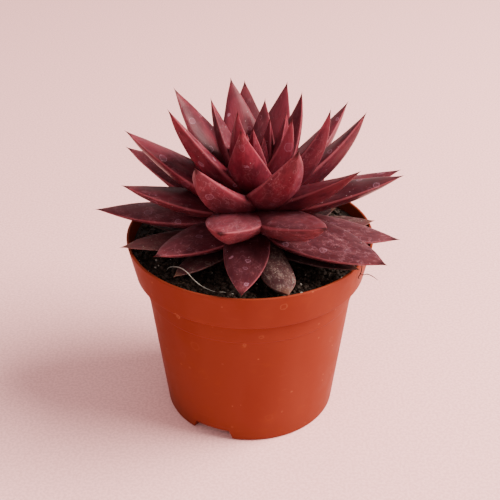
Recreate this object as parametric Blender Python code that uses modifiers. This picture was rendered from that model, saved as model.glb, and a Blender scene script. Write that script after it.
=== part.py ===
"""Potted echeveria: a rosette of thick, pointed leaves on a short stem, in a plastic nursery pot.

The pot stands on z = 0 with its axis on the world's Z, and -Y is the front.
Lengths are written in millimetres and turned into metres where a mesh is made.
"""

from math import cos, pi, radians, sin

import bmesh
import bpy
import numpy as np

MM = 0.001
GAP = 0.3                       # clearance between pieces that rest on each other

# Pot: a 10.5 cm nursery pot, injection moulded, with a deep rim band and a recessed floor
POT_HEIGHT = 84.0
RIM_RADIUS = 52.9
BAND_HEIGHT = 16.4
BAND_FOOT_RADIUS = 49.4
BODY_TOP_RADIUS = 46.2
BASE_RADIUS = 37.5
BASE_ROUND = 1.2
WALL = 1.2
LIP_ROUND = 0.5
STACK_RING_DROP = 9.9           # the faint step below the band, where stacked pots stop
STACK_RING_STEP = 0.4
FLOOR_HEIGHT = 5.6
FOOT_WIDTH = 2.0
POT_SIDES = 48

# Water gaps in the foot and drain holes in the floor
NOTCH_WIDTH = 17.8
NOTCH_HEIGHT = 4.9
NOTCH_HEADINGS = (-26.5, 153.5)
DRAIN_RADIUS = 3.5
DRAIN_CIRCLE = 24.0
DRAIN_COUNT = 6

# Potting soil: a shallow dish with low lumps, and a plain hole for the stem
SOIL_EDGE_LEVEL = 79.0
SOIL_EDGE_GAP = 1.25 * GAP      # a little more than the gap, for the facets of wall and soil
SOIL_DISH = 0.9
SOIL_LUMP = 0.25
LONG_WAVE, MIDDLE_WAVE, SHORT_WAVE = 33.0, 27.3, 20.3
SOIL_SIDES = 36
SOIL_RINGS = 6

# Stem, which stands in the soil and carries the old leaves
STEM_RADIUS = 6.0
STEM_FOOT = 58.0
STEM_TOP = 84.2
STEM_SIDES = 20
CORE_SIDES = 16
DRAIN_SIDES = 16

# Rosette axis: the crown leans a little to the right and back
CORE_FOOT = STEM_TOP + GAP
CORE_FOOT_RADIUS = 7.0
CORE_TOP_RADIUS = 2.5
LOWEST_LEAF = 92.3
CROWN = np.array((3.0, 2.0, 107.8))

# Spiral: each older leaf is one divergence angle on and stands a little lower
DIVERGENCE = 137.86
FIRST_HEADING = 61.6
LIVING_LEAVES = 41
SHED_PLACES = (24,)
LOW_PLACE = 50                  # one more plump leaf, far down the spiral
FIRST_RISE = 84.0
RISE_STEP = 2.25
USUAL_CURL = 10.0

# A leaf grows over the first places of the spiral, from a heart leaf to a full one
HEART_LENGTH, FULL_LENGTH, LENGTH_PLACES = 27.0, 58.0, 16
HEART_WIDTH, FULL_WIDTH, WIDTH_PLACES = 9.0, 21.0, 14
HEART_DEPTH, FULL_DEPTH, DEPTH_PLACES = 4.0, 7.6, 16
HEART_ROOT, FULL_ROOT = 1.0, 4.0

# Habits: how single leaves of this plant depart from the spiral's rule, by place.
# Turn and lift in degrees, extra length in millimetres, curl in degrees.
HABITS = {
    0: (0, 1, -6, 4),
    1: (0, 0, -6, 4),
    2: (-24, 0, -3, 6),
    3: (-17, -4, -2, 6),
    4: (0, -1, -9, 6),
    5: (2, -1, -2, 22),
    6: (9, 3, 1, 26),
    7: (-10, -3, -5, 8),
    8: (6, -2, 0, 34),
    9: (0, 3, -2, 8),
    10: (-1, 0, -2, 38),
    11: (5, -3, 0, 14),
    12: (-5, 1, -3, 8),
    13: (-2, 0, 1, 44),
    14: (2, -1, 2, 14),
    15: (4, -5, -6, 8),
    16: (7, -4, -2, 32),
    17: (2, 2, -4, 10),
    18: (0, -6, -1, 34),
    19: (4, -3, -9, 32),
    20: (0, -6, 0, 8),
    21: (2, -6, 2, 14),
    22: (4, -1, 1, 10),
    23: (-2, -1, 1, 24),
    26: (2, -8, 4, 10),
    27: (-14, -6, -4, 12),
    28: (0, -6, 1, 10),
    29: (3, 0, 4, 10),
    30: (4, 2, -1, 8),
    31: (-5, -5, 5, 10),
    32: (16, 6, -9, -4),
    33: (0, 1, 1, 10),
    34: (-3, -9, 6, 6),
    35: (-7, -5, 4, 6),
    36: (0, -5, -10, 6),
    37: (-4, -2, 1, 6),
    38: (0, 2, -2, 6),
    39: (-12, 2, 2, 6),
    40: (10, 10, -7, 8),
    50: (8, 19.5, -9, 16),
}

# Leaves with a shape of their own: extra width and thickness in mm, a blunter point, how far the
# tip leans to the right in mm, seen from outside, and the roll in degrees that lifts its left side
SHAPES = {
    6: (3.0, 0.0, 0.0, 0.0, 0),
    8: (1.5, 0.0, 0.0, 0.0, 0),
    11: (1.2, 0.0, -0.1, -0.8, 0),
    12: (2.5, 0.0, 0.0, 0.0, 0),
    13: (0.0, 0.5, 0.0, 0.0, 14),
    15: (0.0, 0.5, 0.0, 0.0, 14),
    16: (0.0, 1.0, 0.4, 0.0, 0),
    18: (0.0, 1.0, 0.0, 0.0, 18),
    19: (0.5, 2.0, 0.8, 0.0, 0),
    22: (3.0, 0.5, 0.0, 0.0, 0),
    23: (0.0, 1.0, 0.0, 0.0, 20),
    29: (0.0, 2.0, 0.3, 0.0, 0),
    32: (2.0, 2.5, 1.0, 0.0, 0),
    34: (6.5, 0.4, 0.4, 0.0, 0),
    37: (-2.2, 1.0, 0.0, 0.0, 0),
    50: (-7.0, -1.0, 3.2, 0.0, 0),
}
PLAIN_SHAPE = (0.0, 0.0, 0.0, 0.0, 0)

# Old leaves that still hang on, by place: turn and rise in degrees, length, width and thickness
# in mm, curl in degrees, and a blunter point
OLD_LEAVES = {
    43: (5, 3, 46, 14, 3.4, 3, 0.0),
    44: (0, 5, 38, 15, 3.4, 3, 0.0),
    46: (0, 5, 50, 16, 3.4, 3, 0.0),
    47: (-10, 4, 52, 15, 4.2, 3, 0.3),
    48: (6, 6, 53, 18, 4.4, -8, 0.0),
    49: (6, 4, 46, 15, 3.4, 3, 0.0),
    52: (4, 4, 50, 20, 4.8, 3, 0.4),
    53: (8, 5, 46, 12, 4.4, -8, 1.2),
}
OLD_LEVEL = 82.3

# Leaf section and outline, as shares of the leaf's own size
RING_SHARES = (0.0, 0.12, 0.26, 0.42, 0.58, 0.74, 0.87, 0.96)
LEAF_SIDES = 8
YOUNG_WIDEST, FULL_WIDEST, ROOT_WIDTH = 0.27, 0.40, 0.60
YOUNG_POINT, FULL_POINT, POINT_GROWTH = 1.1, 2.05, 1.2
THICKEST_AT, ROOT_DEPTH, THIN_POWER = 0.38, 0.65, 1.7
FACE_RISE, FACE_HOLLOW, BELLY, BELLY_POWER = 0.32, 0.06, 0.86, 0.9

POT_COLOUR = (0.52, 0.09, 0.03, 1.0)
SOIL_COLOUR = (0.012, 0.008, 0.006, 1.0)
STEM_COLOUR = (0.075, 0.035, 0.03, 1.0)
LEAF_COLOUR = (0.18, 0.018, 0.03, 1.0)


def clear_scene():
    """Remove every object that the file starts with."""
    for found in list(bpy.data.objects):
        bpy.data.objects.remove(found)


def new_collection(name):
    """Make a collection and link it to the scene."""
    collection = bpy.data.collections.new(name)
    bpy.context.scene.collection.children.link(collection)
    return collection


def new_material(name, colour, roughness):
    """Make a plain Principled material."""
    material = bpy.data.materials.new(name)
    material.use_nodes = True
    shader = material.node_tree.nodes["Principled BSDF"]
    shader.inputs["Base Color"].default_value = colour
    shader.inputs["Roughness"].default_value = roughness
    shader.inputs["Metallic"].default_value = 0.0
    return material


def new_object(name, points, edges, faces, collection):
    """Make a mesh object from points in millimetres."""
    mesh = bpy.data.meshes.new(name)
    mesh.from_pydata([tuple(MM * value for value in point) for point in points], edges, faces)
    made = bpy.data.objects.new(name, mesh)
    collection.objects.link(made)
    return made


def heading_axes(heading):
    """Outward and sideways unit vectors for a heading from the front, positive to the right."""
    angle = radians(heading)
    outward = np.array((sin(angle), -cos(angle), 0.0))
    sideways = np.array((cos(angle), sin(angle), 0.0))
    return outward, sideways


def turned(name, profile, sides, collection):
    """Turn an open profile of (radius, height) points round the Z axis."""
    points = [(radius, 0.0, height) for radius, height in profile]
    edges = [(i, i + 1) for i in range(len(points) - 1)]
    made = new_object(name, points, edges, [], collection)
    screw = made.modifiers.new("Turn", "SCREW")
    screw.steps = sides
    screw.render_steps = sides
    screw.use_merge_vertices = True
    screw.merge_threshold = 0.00001
    screw.use_smooth_shade = True
    return made


def apply_modifiers(made):
    """Replace an object's mesh with its evaluated one and drop its modifiers."""
    graph = bpy.context.evaluated_depsgraph_get()
    mesh = bpy.data.meshes.new_from_object(made.evaluated_get(graph))
    made.modifiers.clear()
    made.data = mesh


def join_collection(made, members):
    """Fuse every object of a collection into one body, then remove them."""
    union = made.modifiers.new("Fuse", "BOOLEAN")
    union.operation = "UNION"
    union.operand_type = "COLLECTION"
    union.collection = members
    union.solver = "EXACT"
    apply_modifiers(made)
    for member in list(members.objects):
        bpy.data.objects.remove(member)
    bpy.data.collections.remove(members)
    keep_outer_body(made)


def keep_outer_body(made):
    """Keep a fused mesh's outer skin: hollows that the fusing sealed are filled."""
    work = bmesh.new()
    work.from_mesh(made.data)
    unseen = set(work.faces)
    bodies = []
    while unseen:
        body = {unseen.pop()}
        waiting = list(body)
        while waiting:
            face = waiting.pop()
            for edge in face.edges:
                for neighbour in edge.link_faces:
                    if neighbour in unseen:
                        unseen.remove(neighbour)
                        body.add(neighbour)
                        waiting.append(neighbour)
        bodies.append(body)
    bodies.sort(key=lambda body: sum(face.calc_area() for face in body))
    inner = [face for body in bodies[:-1] for face in body]
    bmesh.ops.delete(work, geom=inner, context="FACES")
    work.to_mesh(made.data)
    work.free()


def inner_wall():
    """Inner wall of the pot from the floor's edge to the lip, as (radius, height)."""
    floor_top = FLOOR_HEIGHT + WALL
    band_foot = POT_HEIGHT - BAND_HEIGHT
    return [
        (BASE_RADIUS - WALL, floor_top),
        (BODY_TOP_RADIUS - WALL, band_foot + WALL / 2),
        (BAND_FOOT_RADIUS - WALL, band_foot + WALL),
        (RIM_RADIUS - WALL, POT_HEIGHT - LIP_ROUND),
    ]


def body_radius(height):
    """Radius of the pot's body, which tapers evenly from the band to the base."""
    share = height / (POT_HEIGHT - BAND_HEIGHT)
    return BASE_RADIUS + (BODY_TOP_RADIUS - BASE_RADIUS) * share


def build_pot(collection, cutters):
    """The pot: turned wall and floor, with foot gaps and drain holes cut out."""
    band_foot = POT_HEIGHT - BAND_HEIGHT
    ring = band_foot - STACK_RING_DROP
    outer_wall = [
        (RIM_RADIUS - WALL + LIP_ROUND, POT_HEIGHT),
        (RIM_RADIUS - LIP_ROUND, POT_HEIGHT),
        (RIM_RADIUS, POT_HEIGHT - LIP_ROUND),
        (BAND_FOOT_RADIUS, band_foot + LIP_ROUND),
        (BAND_FOOT_RADIUS - LIP_ROUND, band_foot),
        (BODY_TOP_RADIUS, band_foot),
        (body_radius(ring), ring),
        (body_radius(ring) - STACK_RING_STEP, ring - STACK_RING_STEP),
        (body_radius(BASE_ROUND), BASE_ROUND),
        (BASE_RADIUS - BASE_ROUND / 3, BASE_ROUND / 3),
        (BASE_RADIUS - BASE_ROUND, 0.0),
        (BASE_RADIUS - BASE_ROUND - FOOT_WIDTH, 0.0),
        (BASE_RADIUS - BASE_ROUND - FOOT_WIDTH, FLOOR_HEIGHT),
        (0.0, FLOOR_HEIGHT),
    ]
    profile = [(0.0, FLOOR_HEIGHT + WALL)] + inner_wall() + outer_wall
    pot = turned("pot", profile, POT_SIDES, collection)

    for heading in NOTCH_HEADINGS:
        outward, _ = heading_axes(heading)
        bpy.ops.mesh.primitive_cube_add(size=MM, location=tuple(MM * BASE_RADIUS * outward))
        notch = bpy.context.object
        notch.name = "foot_gap_cutter"
        notch.rotation_euler.z = radians(heading)
        notch.scale = (NOTCH_WIDTH, 4 * FOOT_WIDTH, 2 * NOTCH_HEIGHT)
        add_cutter(notch, cutters)
    for i in range(DRAIN_COUNT):
        outward, _ = heading_axes(360 / DRAIN_COUNT * (i + 0.5))
        place = MM * (DRAIN_CIRCLE * outward + np.array((0.0, 0.0, FLOOR_HEIGHT)))
        bpy.ops.mesh.primitive_cylinder_add(
            vertices=DRAIN_SIDES, radius=MM * DRAIN_RADIUS, depth=MM * 4 * WALL,
            location=tuple(place))
        drain = bpy.context.object
        drain.name = "drain_hole_cutter"
        add_cutter(drain, cutters)

    cut = pot.modifiers.new("Water gaps and drains", "BOOLEAN")
    cut.operation = "DIFFERENCE"
    cut.operand_type = "COLLECTION"
    cut.collection = cutters
    cut.solver = "EXACT"
    return pot


def add_cutter(cutter, cutters):
    """Move a cutter to its collection, hidden from the model."""
    for holder in list(cutter.users_collection):
        holder.objects.unlink(cutter)
    cutters.objects.link(cutter)
    cutter.hide_render = True
    cutter.display_type = "WIRE"


def soil_height(x, y):
    """Height of the soil at a place: a dish that rises to the wall, with low rolling lumps."""
    share = np.hypot(x, y) / RIM_RADIUS
    lumps = (sin(2 * pi * x / SHORT_WAVE + 0.9) * cos(2 * pi * y / SHORT_WAVE)
             + sin(2 * pi * (y / LONG_WAVE - x / MIDDLE_WAVE)))
    return SOIL_EDGE_LEVEL - SOIL_DISH * (1 - share ** 2) + SOIL_LUMP * lumps


def build_soil(collection):
    """The soil: it fills the pot to just under the lip and has a plain hole for the stem."""
    hole = STEM_RADIUS + GAP
    floor_edge, step_foot, step_top, lip = inner_wall()
    slope = (lip[0] - step_top[0]) / (lip[1] - step_top[1])
    edge = step_top[0] + slope * (SOIL_EDGE_LEVEL - step_top[1]) - SOIL_EDGE_GAP
    top = [(radius, SOIL_EDGE_LEVEL) for radius in np.linspace(hole, edge, SOIL_RINGS + 1)]
    side = [(radius - SOIL_EDGE_GAP, height + GAP)
            for radius, height in (step_top, step_foot, floor_edge)]
    base = (0.0, floor_edge[1] + GAP)
    well = [(0.0, STEM_FOOT - GAP), (hole, STEM_FOOT - GAP)]
    soil = turned("soil", well + top + side + [base], SOIL_SIDES, collection)
    apply_modifiers(soil)
    for vertex in soil.data.vertices:
        if vertex.co.z > MM * (SOIL_EDGE_LEVEL - 0.1):
            vertex.co.z = MM * soil_height(vertex.co.x / MM, vertex.co.y / MM)
    return soil


def half_width(share, age, blunter):
    """Half width along a leaf as a share of its greatest: a swelling, then a point that is
    straight on a young leaf and fuller on an old one."""
    widest = YOUNG_WIDEST + (FULL_WIDEST - YOUNG_WIDEST) * age
    power = YOUNG_POINT + (FULL_POINT - YOUNG_POINT) * age ** POINT_GROWTH + blunter
    swell = ROOT_WIDTH + (1 - ROOT_WIDTH) * np.sin(np.clip(share / widest, 0, 1) * pi / 2)
    fall = np.clip((share - widest) / (1 - widest), 0, 1)
    return np.where(share < widest, swell, 1 - fall ** power)


def thickness(share, blunter):
    """Thickness along a leaf as a share of its greatest."""
    swell = ROOT_DEPTH + (1 - ROOT_DEPTH) * np.sin(np.clip(share / THICKEST_AT, 0, 1) * pi / 2)
    fall = np.clip((share - THICKEST_AT) / (1 - THICKEST_AT), 0, 1)
    return np.where(share < THICKEST_AT, swell, 1 - fall ** (THIN_POWER + blunter))


def centre_line(shares, length, rise, curl):
    """Distance out, height and slope along a leaf that starts low and curls up to its tip."""
    slope = np.radians(rise + curl * (shares - 0.5))
    middle = (slope[1:] + slope[:-1]) / 2
    steps = length * np.diff(shares)
    out = np.concatenate(([0.0], np.cumsum(steps * np.cos(middle))))
    up = np.concatenate(([0.0], np.cumsum(steps * np.sin(middle))))
    return out, up, slope


def leaf_object(name, base, heading, rise, sizes, curl, root, age, shape, collection):
    """One leaf: rings with a low face and a full belly, lofted to a point at the tip."""
    length, width, depth = sizes
    blunter, lean, roll = shape
    shares = np.array(RING_SHARES + (1.0,))
    out, up, slope = centre_line(shares, length, rise, curl)
    turn = np.linspace(0, 2 * pi, LEAF_SIDES, endpoint=False)
    across = np.cos(turn)
    face = FACE_RISE * np.sin(turn) - FACE_HOLLOW * (1 - across ** 2)
    belly = -BELLY * np.abs(np.sin(turn)) ** BELLY_POWER
    through = np.where(np.sin(turn) > 0, face, belly) * (np.abs(np.sin(turn)) > 1e-6)
    side = (half_width(shares, age, blunter)[:, None] * width / 2 * across
            + lean * shares[:, None] ** 2)
    rise_out = thickness(shares, blunter)[:, None] * depth * through
    tilt = radians(roll)
    side, rise_out = (side * cos(tilt) + rise_out * sin(tilt),
                      rise_out * cos(tilt) - side * sin(tilt))
    outward, sideways = heading_axes(heading)
    radial = root + out[:, None] - np.sin(slope)[:, None] * rise_out
    height = up[:, None] + np.cos(slope)[:, None] * rise_out
    points = (base + radial[..., None] * outward + side[..., None] * sideways
              + height[..., None] * np.array((0.0, 0.0, 1.0)))
    rings = len(RING_SHARES)
    corners = [tuple(point) for ring in points[:rings] for point in ring]
    corners.append(tuple(points[rings].mean(axis=0)))
    tip = len(corners) - 1
    faces = [tuple(range(LEAF_SIDES))]
    for i in range(rings):
        for j in range(LEAF_SIDES):
            here, following = i * LEAF_SIDES + j, i * LEAF_SIDES + (j + 1) % LEAF_SIDES
            if i == rings - 1:
                faces.append((following, here, tip))
            else:
                faces.append((following, here, here + LEAF_SIDES, following + LEAF_SIDES))
    made = new_object(name, corners, [], faces, collection)
    face_outward(made)
    return made


def face_outward(made):
    """Point every face of a closed mesh outward."""
    work = bmesh.new()
    work.from_mesh(made.data)
    bmesh.ops.recalc_face_normals(work, faces=work.faces)
    work.to_mesh(made.data)
    work.free()


def grown(place, heart, full, places):
    """A leaf size that grows evenly over the first places of the spiral."""
    return heart + (full - heart) * min(place / places, 1.0)


def build_rosette(collection):
    """The living leaves, fused to the short core that they grow from."""
    core_height = CROWN[2] - CORE_FOOT
    bpy.ops.mesh.primitive_cone_add(
        vertices=CORE_SIDES, radius1=MM * CORE_FOOT_RADIUS, radius2=MM * CORE_TOP_RADIUS,
        depth=MM * core_height)
    rosette = bpy.context.object
    rosette.name = "rosette"
    rosette.data.name = "rosette"
    move_to(rosette, collection)
    for vertex in rosette.data.vertices:
        share = vertex.co.z / (MM * core_height) + 0.5
        vertex.co.x += MM * CROWN[0] * share
        vertex.co.y += MM * CROWN[1] * share
        vertex.co.z = MM * (CORE_FOOT + core_height * share)

    leaves = new_collection("rosette_leaves")
    for place in (*range(LIVING_LEAVES), LOW_PLACE):
        if place in SHED_PLACES:
            continue
        turn, lift, longer, curl = HABITS.get(place, (0, 0, 0, USUAL_CURL))
        wider, deeper, *shape = SHAPES.get(place, PLAIN_SHAPE)
        age = min(place / (LIVING_LEAVES - 1), 1.0)
        sizes = (grown(place, HEART_LENGTH, FULL_LENGTH, LENGTH_PLACES) + longer,
                 grown(place, HEART_WIDTH, FULL_WIDTH, WIDTH_PLACES) + wider,
                 grown(place, HEART_DEPTH, FULL_DEPTH, DEPTH_PLACES) + deeper)
        foot = np.array((0.0, 0.0, LOWEST_LEAF))
        leaf_object(
            f"leaf_{place}", CROWN + (foot - CROWN) * age,
            FIRST_HEADING - DIVERGENCE * place + turn,
            FIRST_RISE - RISE_STEP * place + lift, sizes, curl,
            HEART_ROOT + (FULL_ROOT - HEART_ROOT) * age, age, shape, leaves)
    join_collection(rosette, leaves)
    return rosette


def build_stem(collection):
    """The stem, with the old leaves that lie on the soil and over the rim."""
    height = STEM_TOP - STEM_FOOT
    bpy.ops.mesh.primitive_cylinder_add(
        vertices=STEM_SIDES, radius=MM * STEM_RADIUS, depth=MM * height,
        location=(0, 0, MM * (STEM_FOOT + height / 2)))
    stem = bpy.context.object
    stem.name = "stem_with_old_leaves"
    stem.data.name = "stem_with_old_leaves"
    move_to(stem, collection)
    leaves = new_collection("old_leaves")
    base = np.array((0.0, 0.0, OLD_LEVEL))
    for place, (turn, rise, *sizes, curl, blunter) in OLD_LEAVES.items():
        heading = FIRST_HEADING - DIVERGENCE * place + turn
        leaf_object(f"old_leaf_{place}", base, heading, rise, sizes, curl,
                    FULL_ROOT, 1.0, (blunter, 0.0, 0), leaves)
    join_collection(stem, leaves)
    return stem


def move_to(made, collection):
    """Move an object that an operator made to a collection."""
    for holder in list(made.users_collection):
        holder.objects.unlink(made)
    collection.objects.link(made)


def main():
    """Build the potted echeveria."""
    clear_scene()
    collection = new_collection("potted_echeveria")
    cutters = new_collection("cutters")
    pot = build_pot(collection, cutters)
    pot.data.materials.append(new_material("terracotta_plastic", POT_COLOUR, 0.45))
    soil = build_soil(collection)
    soil.data.materials.append(new_material("potting_soil", SOIL_COLOUR, 0.95))
    stem = build_stem(collection)
    stem.data.materials.clear()
    stem.data.materials.append(new_material("old_leaf", STEM_COLOUR, 0.6))
    rosette = build_rosette(collection)
    rosette.data.materials.clear()
    rosette.data.materials.append(new_material("leaf", LEAF_COLOUR, 0.4))


main()
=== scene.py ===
"""Looks of the potted echeveria: leaves, old leaves, stem, pot, potting mix and a plain stage.

Every piece is a surface worked out from a formula in whole arrays, in the same frame as the part:
the pot stands on z = 0 with its axis on the world's Z, and -Y is the front. Lengths are in metres.
"""

import bpy
import numpy as np
from bpy.props import FloatProperty, FloatVectorProperty, IntProperty, PointerProperty
from bpy.types import Operator, Panel, PropertyGroup
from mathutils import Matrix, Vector


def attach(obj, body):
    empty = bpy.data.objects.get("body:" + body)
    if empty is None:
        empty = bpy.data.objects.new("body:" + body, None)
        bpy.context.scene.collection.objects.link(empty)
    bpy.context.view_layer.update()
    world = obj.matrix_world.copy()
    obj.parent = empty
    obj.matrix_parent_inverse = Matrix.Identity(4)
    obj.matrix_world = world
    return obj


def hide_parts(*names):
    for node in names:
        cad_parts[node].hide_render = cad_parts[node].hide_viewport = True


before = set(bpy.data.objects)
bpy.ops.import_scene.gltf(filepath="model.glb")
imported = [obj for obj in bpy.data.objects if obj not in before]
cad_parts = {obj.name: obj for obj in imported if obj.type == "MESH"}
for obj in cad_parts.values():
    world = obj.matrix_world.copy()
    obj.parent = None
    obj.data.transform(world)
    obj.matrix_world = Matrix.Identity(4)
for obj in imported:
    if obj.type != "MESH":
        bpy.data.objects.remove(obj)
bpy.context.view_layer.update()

bl_info = {
    "name": "Potted Echeveria",
    "version": (1, 0, 0),
    "blender": (4, 5, 0),
    "location": "3D View > Sidebar > Echeveria",
    "description": "Builds the finished surfaces of a potted echeveria",
    "category": "Object",
}

MM = 0.001

# Air between one piece and the next, so that no two faces lie in one another
GAP = 0.3 * MM

# Pot: sizes that its settings leave as they are
BAND_FOOT_RADIUS = 49.4 * MM
BODY_TOP_RADIUS = 46.2 * MM
BASE_ROUND = 1.2 * MM
STACK_RING_DROP = 9.9 * MM
STACK_RING_STEP = 0.4 * MM
FLOOR_HEIGHT = 5.6 * MM
FOOT_WIDTH = 2.0 * MM
NOTCH_WIDTH = 17.8 * MM
NOTCH_HEIGHT = 4.9 * MM
NOTCH_HEADINGS = (-26.5, 153.5)
NOTCH_SLOPE = 0.03
DRAIN_RADIUS = 3.5 * MM
DRAIN_CIRCLE = 24.0 * MM
DRAIN_COUNT = 6

# Rounding of the pot's corners, how oval its lip is and which way, and the grid that shows it
HARD_EDGE, RING_EDGE, INNER_LIP, OUTER_LIP, SOFT_EDGE = np.array((0.35, 0.3, 0.5, 0.55, 0.8)) * MM
OUT_OF_ROUND, OUT_OF_ROUND_TURN = 0.15 * MM, 0.7
POT_STEP, POT_SIDES = 1.6 * MM, 300

# Soil, stem and the core that the leaves grow from
SOIL_LEVEL = 79.0 * MM
SOIL_DISH = 0.9 * MM
SOIL_SPREAD = 52.9 * MM
SOIL_LUMPS = 0.25 * MM
LONG_WAVE, MIDDLE_WAVE, SHORT_WAVE = 33.0 * MM, 27.3 * MM, 20.3 * MM
SOIL_RINGS, SOIL_SIDES = 120, 320
STEM_RADIUS = 6.0 * MM
STEM_FOOT = 58.0 * MM
STEM_SCARS = 0.4 * MM
LOWEST_LEAF = np.array((0.0, 0.0, 92.3)) * MM
CROWN = np.array((3.0, 2.0, 107.8)) * MM

# Spiral of the leaves: first heading and rise in degrees, and the fall of each further place
FIRST_HEADING, FIRST_RISE, RISE_STEP = 61.6, 84.0, 2.25

# Places that are empty or far down, and where the heart leaves and the middle leaves end
SHED_PLACES = (24,)
LOW_PLACE = 50
HEART_END, MIDDLE_END = 13, 27

# Length, width and thickness of the first leaf, the places over which they grow to full, and
# how far from the core the roots of the first and of the lowest leaf lie
HEART_SIZES = np.array((27.0, 9.0, 4.0)) * MM
GROWING_PLACES = np.array((16, 14, 16))
HEART_ROOT, FULL_ROOT = 1.0 * MM, 4.0 * MM

# Habits of single leaves by place: turn and lift in degrees, extra length in mm, curl in degrees
HABITS = {
    0: (0, 1, -6, 4), 1: (0, 0, -6, 4), 2: (-24, 0, -3, 6), 3: (-17, -4, -2, 6),
    4: (0, -1, -9, 6), 5: (2, -1, -2, 22), 6: (9, 3, 1, 26), 7: (-10, -3, -5, 8),
    8: (6, -2, 0, 34), 9: (0, 3, -2, 8), 10: (-1, 0, -2, 38), 11: (5, -3, 0, 14),
    12: (-5, 1, -3, 8), 13: (-2, 0, 1, 44), 14: (2, -1, 2, 14), 15: (4, -5, -6, 8),
    16: (7, -4, -2, 32), 17: (2, 2, -4, 10), 18: (0, -6, -1, 34), 19: (4, -3, -9, 32),
    20: (0, -6, 0, 8), 21: (2, -6, 2, 14), 22: (4, -1, 1, 10), 23: (-2, -1, 1, 24),
    25: (0, 0, 0, 10), 26: (2, -8, 4, 10), 27: (-14, -6, -4, 12), 28: (0, -6, 1, 10),
    29: (3, 0, 4, 10), 30: (4, 2, -1, 8), 31: (-5, -5, 5, 10), 32: (16, 6, -9, -4),
    33: (0, 1, 1, 10), 34: (-3, -9, 6, 6), 35: (-7, -5, 4, 6), 36: (0, -5, -10, 6),
    37: (-4, -2, 1, 6), 38: (0, 2, -2, 6), 39: (-12, 2, 2, 6), 40: (10, 10, -7, 8),
    50: (8, 19.5, -9, 16),
}

# Leaves with a shape of their own: extra width and thickness in mm, a blunter point, how far the
# tip leans to the right in mm, seen from outside, and the roll in degrees that lifts its left side
SHAPES = {
    6: (3, 0, 0, 0, 0), 8: (1.5, 0, 0, 0, 0), 11: (1.2, 0, -0.1, -0.8, 0),
    12: (2.5, 0, 0, 0, 0), 13: (0, 0.5, 0, 0, 14), 15: (0, 0.5, 0, 0, 14),
    16: (0, 1, 0.4, 0, 0), 18: (0, 1, 0, 0, 18), 19: (0.5, 2, 0.8, 0, 0),
    22: (3, 0.5, 0, 0, 0), 23: (0, 1, 0, 0, 20), 29: (0, 2, 0.3, 0, 0),
    32: (2, 2.5, 1, 0, 0), 34: (6.5, 0.4, 0.4, 0, 0), 37: (-2.2, 1, 0, 0, 0),
    50: (-7, -1, 3.2, 0, 0),
}
PLAIN_SHAPE = (0, 0, 0, 0, 0)

# Looks of single leaves: how far from dull dark to bright crimson, and how thick the wax lies.
# The first is partly the leaf's own tone and partly painted light and shade: leaves on the lit
# right, such as places 26 and 34, are set below zero and painted darker as if in shade, and
# faces in shade, such as place 23, are set brighter as if lit
LOOKS_AND_PAINTED_LIGHT = {
    5: (0.6, 0.2), 6: (0.6, 0.3), 8: (0.5, 0.3), 10: (0.4, 0.3), 11: (0.65, 0.35),
    12: (0.4, 0.05), 13: (0.35, 0.3), 15: (0.4, 0.3), 16: (0.45, 0.55), 17: (0.3, 0.2),
    18: (0.2, 0.2), 19: (0.5, 0.7), 20: (0.05, 0.3), 22: (0.35, 0.3), 23: (0.4, 0.3),
    26: (-0.6, 0.1), 29: (0.1, 0.65), 32: (0.35, 0.8), 34: (-0.6, 0.6), 35: (0.3, 0.6),
    37: (-0.6, 0.4), 39: (-0.6, 0.8), 40: (0.1, 0.6), 43: (0.1, 0.1), 44: (0.1, 0.1),
    46: (0.1, 0.1), 47: (0.2, 0), 48: (0.9, 0.1), 49: (0.1, 0.1), 50: (0.1, 0.7),
    52: (0.6, 0.6), 53: (0.4, 0.2),
}

# Old leaves that still hang on, by place: turn and rise in degrees, length, width and thickness
# in mm, curl in degrees, and a blunter point
OLD_LEAVES = {
    43: (5, 3, 46, 14, 3.4, 3, 0.0),
    44: (0, 5, 38, 15, 3.4, 3, 0.0),
    46: (0, 5, 50, 16, 3.4, 3, 0.0),
    47: (-10, 4, 52, 15, 4.2, 3, 0.3),
    48: (6, 6, 53, 18, 4.4, -8, 0.0),
    49: (6, 4, 46, 15, 3.4, 3, 0.0),
    52: (4, 4, 50, 20, 4.8, 3, 0.4),
    53: (8, 5, 46, 12, 4.4, -8, 1.2),
}
OLD_LEVEL = 82.3 * MM
OLD_AGE = 1.2
OLD_WRINKLE = 0.16 * MM

# Leaf section and outline, as shares of the leaf's own size, or powers of such a share
YOUNG_WIDEST, FULL_WIDEST, ROOT_WIDTH = 0.27, 0.40, 0.60
YOUNG_POINT, FULL_POINT, POINT_GROWTH = 1.1, 2.05, 1.2
THICKEST_AT, ROOT_DEPTH, THIN_POWER = 0.38, 0.65, 1.7
FACE_RISE, FACE_HOLLOW, BELLY = 0.32, 0.06, 0.90
ROOT_KEEL, KEEL_GROWTH, SECTION_POWER = 0.15, 0.50, 1.3
TIP_NARROWING, NARROW_REACH, SPINE_REACH = 0.35, 0.04, 0.014

# How wide the pale margin of a leaf is; the pale margin is partly painted highlight along the edge
MARGIN = 0.3 * MM

# Leaf mesh: rows, which crowd towards the tip, and points in a row
LEAF_ROWS, ROW_CROWDING, LEAF_SIDES = 66, 1.35, 48

# Noises of the leaf skin and of the soil, each with its height or share, its size and its seed,
# then how far furrows are drawn out, and the seeds of what is drawn at random
DENTS = ((0.22 * MM, 11 * MM, 1), (0.06 * MM, 3.5 * MM, 2))
FURROWS = ((1.0, 1.5 * MM, 3),)
SHRINKAGE = ((0.6, 4 * MM, 4),)
CRUMBLE = ((0.45, 6 * MM, 11), (0.33, 2.6 * MM, 12), (0.22, 1.2 * MM, 13))
FURROW_STRETCH = (1, 0.16, 1)
LEAF_SEED, CRUMB_SEED, ROOT_SEED = 1000, 7, 21

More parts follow.
